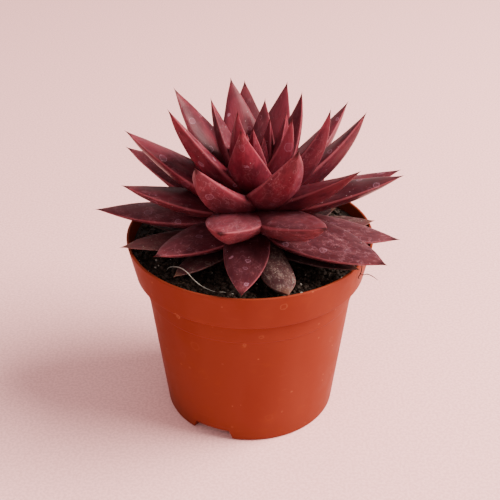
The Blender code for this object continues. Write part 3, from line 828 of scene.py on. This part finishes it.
class ECHEVERIA_OT_pot(Operator):
    """Build the plastic pot: a turned wall with a rim band, foot gaps and drain holes"""

    bl_idname = "echeveria.pot"
    bl_label = "Pot"

    def execute(self, context):
        pot = context.scene.echeveria_pot
        band_foot = pot.height - pot.band_height
        taper = (BODY_TOP_RADIUS - pot.base_radius) / band_foot
        ring = band_foot - STACK_RING_DROP
        ring_radius = pot.base_radius + taper * ring
        foot = pot.base_radius - BASE_ROUND - FOOT_WIDTH
        floor_top = FLOOR_HEIGHT + pot.wall
        corners = [
            (0.0, FLOOR_HEIGHT, 0.0),
            (foot, FLOOR_HEIGHT, HARD_EDGE),
            (foot, 0.0, HARD_EDGE),
            (pot.base_radius, 0.0, BASE_ROUND),
            (ring_radius - STACK_RING_STEP, ring - STACK_RING_STEP, RING_EDGE),
            (ring_radius, ring, RING_EDGE),
            (BODY_TOP_RADIUS, band_foot, SOFT_EDGE),
            (BAND_FOOT_RADIUS, band_foot, SOFT_EDGE),
            (pot.rim_radius, pot.height, OUTER_LIP),
            (pot.rim_radius - pot.wall, pot.height, INNER_LIP),
            (BAND_FOOT_RADIUS - pot.wall, band_foot + pot.wall, SOFT_EDGE),
            (BODY_TOP_RADIUS - pot.wall, band_foot + pot.wall / 2, SOFT_EDGE),
            (pot.base_radius - pot.wall, floor_top, SOFT_EDGE),
            (0.0, floor_top, 0.0),
        ]
        points = turned_grid(rounded(corners, POT_STEP), POT_SIDES)
        angle = np.arctan2(points[..., 0], -points[..., 1])
        radius = np.hypot(points[..., 0], points[..., 1])
        for heading in NOTCH_HEADINGS:
            off = (angle - np.radians(heading) + np.pi) % (2 * np.pi) - np.pi
            half = NOTCH_WIDTH / 2 / pot.base_radius
            arch = NOTCH_HEIGHT * ease(np.abs(off), half + NOTCH_SLOPE, half - NOTCH_SLOPE)
            on_foot = radius > foot - 0.1 * MM
            points[..., 2] = np.where(on_foot, np.maximum(points[..., 2], arch), points[..., 2])
        squash = OUT_OF_ROUND * np.cos(2 * angle + OUT_OF_ROUND_TURN) * points[..., 2] / pot.height
        points[..., :2] *= 1 + (squash / np.maximum(radius, MM))[..., None]
        piece = make_piece("turned_pot", [closed_grid(points)], plastic_material(pot),
                           replaced=["pot"])
        drill_drains(piece, pot)
        return {"FINISHED"}


def drill_drains(piece, pot):
    """Cut the drain holes through the floor with short tubes, then drop the tubes."""
    drills = []
    for i in range(DRAIN_COUNT):
        outward, _ = heading_axes(360 / DRAIN_COUNT * (i + 0.5))
        place = DRAIN_CIRCLE * outward + np.array((0.0, 0.0, FLOOR_HEIGHT))
        path = place + np.linspace(-2, 2, 3)[:, None] * np.array((0.0, 0.0, pot.wall))
        sheet = tube_sheet(path, np.full(3, DRAIN_RADIUS), sides=24)
        mesh = bpy.data.meshes.new("drain_drill")
        mesh.from_pydata(sheet["points"].tolist(), [],
                         sheet["quads"].tolist() + sheet["triangles"].tolist())
        drills.append(add_object("drain_drill", mesh))
        cut = piece.modifiers.new("Drain", "BOOLEAN")
        cut.operation = "DIFFERENCE"
        cut.object = drills[-1]
        cut.solver = "EXACT"
    graph = bpy.context.evaluated_depsgraph_get()
    mesh = bpy.data.meshes.new_from_object(piece.evaluated_get(graph))
    piece.modifiers.clear()
    piece.data = mesh
    mesh.set_sharp_from_angle(angle=np.radians(50))
    for drill in drills:
        bpy.data.objects.remove(drill)


class ECHEVERIA_OT_soil(Operator):
    """Build the potting mix: a crumbly surface that fills the pot to just under the lip"""

    bl_idname = "echeveria.soil"
    bl_label = "Potting mix"

    def execute(self, context):
        pot, soil = context.scene.echeveria_pot, context.scene.echeveria_soil
        hole = STEM_RADIUS + GAP
        edge = inner_radius(pot, SOIL_LEVEL) - GAP
        band_foot = pot.height - pot.band_height
        floor_top = FLOOR_HEIGHT + pot.wall + GAP
        side = [(pot.base_radius - pot.wall - 1.5 * GAP, floor_top),
                (BODY_TOP_RADIUS - pot.wall - 1.5 * GAP, band_foot + GAP),
                (BAND_FOOT_RADIUS - pot.wall - 1.5 * GAP, band_foot + pot.wall + GAP)]
        top = [(radius, SOIL_LEVEL) for radius in np.linspace(edge, hole, SOIL_RINGS)]
        well = [(hole, STEM_FOOT - GAP), (0.0, STEM_FOOT - GAP)]
        points = turned_grid([(0.0, floor_top), *side, *top, *well], SOIL_SIDES)
        rows = slice(1 + len(side), 1 + len(side) + len(top))
        points[rows, :, 2] = soil_level(points[rows, :, 0], points[rows, :, 1], soil.relief)
        material = soil_material("damp_peat", soil.colour, ("0C0806", "34251C"), 5 * MM)
        make_piece("peat_surface", [closed_grid(points)], material,
                   replaced=["soil"])
        return {"FINISHED"}


def lumps_sheet(draw, centres, sizes, flatness):
    """Many small lumps as one sheet: a twenty-faced ball for each, whose corners are pushed in
    and out at random, stretched on three axes and turned at random."""
    golden = (1 + 5 ** 0.5) / 2
    ball = np.array([(a, b * golden, 0) for a in (-1, 1) for b in (-1, 1)])
    ball = np.concatenate([np.roll(ball, shift, axis=1) for shift in range(3)])
    ball = ball / np.linalg.norm(ball, axis=1, keepdims=True)
    triples = [(i, j, k) for i in range(12) for j in range(12) for k in range(12)
               if i < j and i < k and j != k
               and max(np.linalg.norm(ball[[i, j, k]] - ball[[j, k, i]], axis=1)) < 1.1
               and np.dot(np.cross(ball[j] - ball[i], ball[k] - ball[i]), ball[i]) > 0]
    count = len(centres)
    radii = sizes[:, None] * draw.uniform((0.7, 0.6, flatness), (1.3, 1.0, flatness * 1.5),
                                          (count, 3))
    corners = ball * (radii[:, None, :]) * draw.uniform(0.75, 1.15, (count, 12, 1))
    turn = draw.uniform(0, 2 * np.pi, (count, 1))
    tilt = draw.normal(0, 0.5, (count, 1))
    x, y, z = corners[..., 0], corners[..., 1], corners[..., 2]
    y, z = y * np.cos(tilt) - z * np.sin(tilt), y * np.sin(tilt) + z * np.cos(tilt)
    x, y = x * np.cos(turn) - y * np.sin(turn), x * np.sin(turn) + y * np.cos(turn)
    points = centres[:, None, :] + np.stack((x, y, z), axis=-1)
    triangles = (np.arange(count) * 12)[:, None, None] + np.array(triples)
    return {"points": points.reshape(-1, 3), "quads": np.zeros((0, 4), int),
            "triangles": triangles.reshape(-1, 3), "attributes": {}}


class ECHEVERIA_OT_crumbs(Operator):
    """Scatter loose crumbs of bark and pale grains on the potting mix"""

    bl_idname = "echeveria.crumbs"
    bl_label = "Crumbs and grains"

    def execute(self, context):
        pot, soil = context.scene.echeveria_pot, context.scene.echeveria_soil
        draw = np.random.default_rng(CRUMB_SEED)
        edge = inner_radius(pot, SOIL_LEVEL)
        kinds = (
            ("bark_crumbs", soil.crumbs, (0.3, 1.7), 0.5, soil_material(
                "composted_bark", linear("261A14"), ("120B08", "4A362A"), 2 * MM)),
            ("pale_grains", soil.perlite, (0.12, 0.9), 0.7, soil_material(
                "perlite_and_sand", linear("A89E96"), ("7A6E66", "D0CAC4"), 1 * MM)),
        )
        for name, count, (small, large), flatness, material in kinds:
            sizes = MM * (small + (large - small) * draw.uniform(0, 1, count) ** CRUMB_SKEW)
            far = edge - CRUMB_MARGIN
            radius = np.sqrt(draw.uniform(CRUMB_NEAREST ** 2, far ** 2, count))
            angle = draw.uniform(0, 2 * np.pi, count)
            x, y = radius * np.cos(angle), radius * np.sin(angle)
            z = soil_level(x, y, soil.relief) + CRUMB_LIFT * sizes
            make_piece(name, [lumps_sheet(draw, np.stack((x, y, z), axis=-1), sizes, flatness)],
                       material)
        return {"FINISHED"}


class ECHEVERIA_OT_leaves(Operator):
    """Grow the living leaves of the rosette, in three groups from the heart outwards"""

    bl_idname = "echeveria.leaves"
    bl_label = "Living leaves"

    def execute(self, context):
        leaves = context.scene.echeveria_leaves
        material = leaf_material("waxy_succulent_leaf", leaves, old=False)
        groups = (("heart_leaves", range(HEART_END)),
                  ("middle_leaves", range(HEART_END, MIDDLE_END)),
                  ("outer_leaves", range(MIDDLE_END, leaves.count)))
        for name, places in groups:
            sheets = [living_leaf(place, leaves) for place in places
                      if place not in SHED_PLACES]
            make_piece(name, sheets, material,
                       replaced=["rosette"] if name == "heart_leaves" else [])
        return {"FINISHED"}


class ECHEVERIA_OT_old_leaves(Operator):
    """Build the old leaves that lie on the soil and the rim, and the stem under the rosette"""

    bl_idname = "echeveria.old_leaves"
    bl_label = "Old leaves and stem"

    def execute(self, context):
        leaves = context.scene.echeveria_leaves
        base = np.array((0.0, 0.0, OLD_LEVEL))
        sheets = [living_leaf(LOW_PLACE, leaves)]
        for place, (turn, rise, *sizes, curl, blunter) in OLD_LEAVES.items():
            heading = FIRST_HEADING - leaves.divergence * place + turn
            sheets.append(leaf_sheet(place, base, heading, rise, np.array(sizes) * MM, curl,
                                     FULL_ROOT, OLD_AGE, leaves.spine, (blunter, 0, 0),
                                     OLD_WRINKLE))
        make_piece("old_leaves", sheets, leaf_material("drying_succulent_leaf", leaves, old=True),
                   replaced=["stem_with_old_leaves"])

        # Low scars wind up the stem where leaves fell, and its top leans to the crown
        height = np.linspace(0, 1, 60)[:, None]
        turn = np.linspace(0, 2 * np.pi, 72, endpoint=False)
        scars = STEM_SCARS * np.sin(5 * turn + 38 * height) * np.sin(21 * height)
        radius = (STEM_RADIUS - STEM_SCARS + scars) * np.minimum(1, 12 * height)
        radius = radius * np.clip((1 - height) * 6 + 0.35, 0, 1)
        lean = CROWN * (1, 1, 0) * ease(height, 0.55, 1.0)[..., None]
        points = np.stack((radius * np.cos(turn), radius * np.sin(turn),
                           STEM_FOOT + (CROWN[2] - STEM_FOOT) * height + 0 * turn), axis=-1)
        bark = soil_material("woody_stem", linear("4A342A"), ("2E201A", "6E5444"), 3 * MM)
        make_piece("woody_stem", [closed_grid(points + lean)], bark)
        return {"FINISHED"}


# Root fibres: points in mm through which each runs
PALE_FIBRE = (
    (-34.2, -24.5, 79.5), (-33.3, -27.0, 82.4), (-31.0, -31.0, 85.5), (-27.9, -34.7, 87.3),
    (-25.1, -37.8, 87.2), (-22.6, -38.5, 84.4), (-19.9, -39.0, 81.9), (-17.3, -39.5, 80.5),
    (-13.9, -41.0, 80.0), (-10.6, -40.7, 79.6), (-6.6, -41.4, 79.2),
)
DARK_FIBRES = (
    ((45.6, -23.0, 85.0), (45.6, -26.6, 84.5), (45.2, -28.4, 81.4), (44.3, -27.8, 78.2),
     (45.2, -26.4, 76.8)),
    ((44.8, -27.8, 80.4), (46.4, -26.0, 78.5), (48.2, -25.0, 78.2), (50.4, -25.4, 77.4),
     (52.6, -26.2, 76.0)),
)


class ECHEVERIA_OT_fibres(Operator):
    """Lay thin dry root fibres on the potting mix and over the rim"""

    bl_idname = "echeveria.fibres"
    bl_label = "Root fibres"

    def execute(self, context):
        soil = context.scene.echeveria_soil
        draw = np.random.default_rng(ROOT_SEED)
        radii = FIBRE_RADIUS * (1 - FIBRE_TAPER * np.linspace(-1, 1, FIBRE_STEPS) ** 2)
        pale, *dark = (tube_sheet(smooth_path(np.array(points) * MM, FIBRE_STEPS), radii)
                       for points in (PALE_FIBRE, *DARK_FIBRES))

        # Each loose bit bends evenly, by so many radians a metre, and is kept inside the pot
        sheets = []
        for _ in range(ROOT_COUNT):
            radius, angle = draw.uniform(*ROOT_PLACE), draw.uniform(0, 2 * np.pi)
            turn, bend = draw.uniform(0, 2 * np.pi), draw.uniform(-60, 60)
            reach = np.linspace(0, draw.uniform(*ROOT_LENGTH), 12)
            heading = turn + bend * reach
            x = radius * np.cos(angle) + reach * np.cos(heading)
            y = radius * np.sin(angle) + reach * np.sin(heading)
            keep = np.minimum(1, ROOT_LIMIT / np.maximum(np.hypot(x, y), MM))
            x, y = x * keep, y * keep
            z = soil_level(x, y, soil.relief) + draw.uniform(0.1, 0.5) * MM
            path = smooth_path(np.stack((x, y, z), axis=-1), 14)
            sheets.append(tube_sheet(path, np.full(14, draw.uniform(*ROOT_RADIUS)), sides=5))
        for name, made, colour, tints in (
                ("pale_fibre", [pale], "A8A39A", ("7C766C", "CFCBC2")),
                ("dark_fibres", dark, "140C0A", ("0C0706", "241A16")),
                ("root_fibres", sheets, "5E4C3E", ("33271F", "8A7763"))):
            material = soil_material(f"dry_{name}", linear(colour), tints, 2 * MM)
            make_piece(name, made, material)
        return {"FINISHED"}


class ECHEVERIA_OT_stage(Operator):
    """Set the floor, the soft lights and the camera"""

    bl_idname = "echeveria.stage"
    bl_label = "Stage"

    def execute(self, context):
        stage = context.scene.echeveria_stage
        mesh = bpy.data.meshes.new("floor")
        corners = [(x * FLOOR_REACH, y * FLOOR_REACH, 0.0)
                   for x, y in ((-1, -1), (1, -1), (1, 1), (-1, 1))]
        mesh.from_pydata(corners, [], [(0, 1, 2, 3)])
        mesh.materials.append(floor_material(stage))
        add_object("floor", mesh)

        # Each light is a soft disc: its place and its width are in metres
        target = np.array((0.0, 0.0, stage.target))
        for name, place, size, power, tint in (
                ("key_light", (1.0, -0.05, 0.95), 1.1, stage.key_power, "FFF4EA"),
                ("fill_light", (-0.5, -1.1, 0.9), 1.0, stage.fill_power, "FFF6F2")):
            light = bpy.data.lights.new(name, "AREA")
            light.shape = "DISK"
            light.size = size
            light.energy = power
            light.color = linear(tint)[:3]
            lamp = add_object(name, light)
            lamp.location = place
            lamp.rotation_euler = direction(target - np.array(place))
        world = bpy.data.worlds.new("even_sky")
        world.use_nodes = True
        sky = world.node_tree.nodes["Background"]
        sky.inputs["Color"].default_value = linear("FFEEEA")
        sky.inputs["Strength"].default_value = stage.sky
        context.scene.world = world

        camera = bpy.data.cameras.new("camera")
        camera.lens = stage.lens
        camera.sensor_width = 36.0
        holder = add_object("camera", camera)
        climb = np.radians(stage.elevation)
        back = np.array((0.0, -np.cos(climb), np.sin(climb)))
        holder.location = target + stage.distance * back
        holder.rotation_euler = direction(-back)
        context.scene.camera = holder
        return {"FINISHED"}


def direction(ahead):
    """The turn that points a lamp or camera that way, with its top up."""
    return Vector(ahead).to_track_quat("-Z", "Y").to_euler()


SETTINGS = (("echeveria_pot", PotSettings), ("echeveria_leaves", LeafSettings),
            ("echeveria_soil", SoilSettings), ("echeveria_stage", StageSettings))
OPERATORS = (ECHEVERIA_OT_stage, ECHEVERIA_OT_pot, ECHEVERIA_OT_soil, ECHEVERIA_OT_crumbs,
             ECHEVERIA_OT_leaves, ECHEVERIA_OT_old_leaves, ECHEVERIA_OT_fibres)


class ECHEVERIA_PT_panel(Panel):
    """Lists the builders of the echeveria"""

    bl_idname = "ECHEVERIA_PT_panel"
    bl_label = "Potted Echeveria"
    bl_space_type = "VIEW_3D"
    bl_region_type = "UI"
    bl_category = "Echeveria"

    def draw(self, context):
        for operator in OPERATORS:
            self.layout.operator(operator.bl_idname)
        for name, kind in SETTINGS:
            box = self.layout.box()
            box.label(text=kind.__doc__)
            for key in kind.__annotations__:
                box.prop(getattr(context.scene, name), key)


def register():
    """Register the settings, the operators and the panel."""
    for name, kind in SETTINGS:
        bpy.utils.register_class(kind)
        setattr(bpy.types.Scene, name, PointerProperty(type=kind))
    for kind in (*OPERATORS, ECHEVERIA_PT_panel):
        bpy.utils.register_class(kind)


def unregister():
    """Undo register, in the opposite order."""
    for kind in (ECHEVERIA_PT_panel, *reversed(OPERATORS)):
        bpy.utils.unregister_class(kind)
    for name, kind in reversed(SETTINGS):
        delattr(bpy.types.Scene, name)
        bpy.utils.unregister_class(kind)


def main():
    """Build every piece in order."""
    register()
    bpy.ops.echeveria.stage()
    bpy.ops.echeveria.pot()
    bpy.ops.echeveria.soil()
    bpy.ops.echeveria.crumbs()
    bpy.ops.echeveria.leaves()
    bpy.ops.echeveria.old_leaves()
    bpy.ops.echeveria.fibres()


if __name__ == "__main__":
    main()
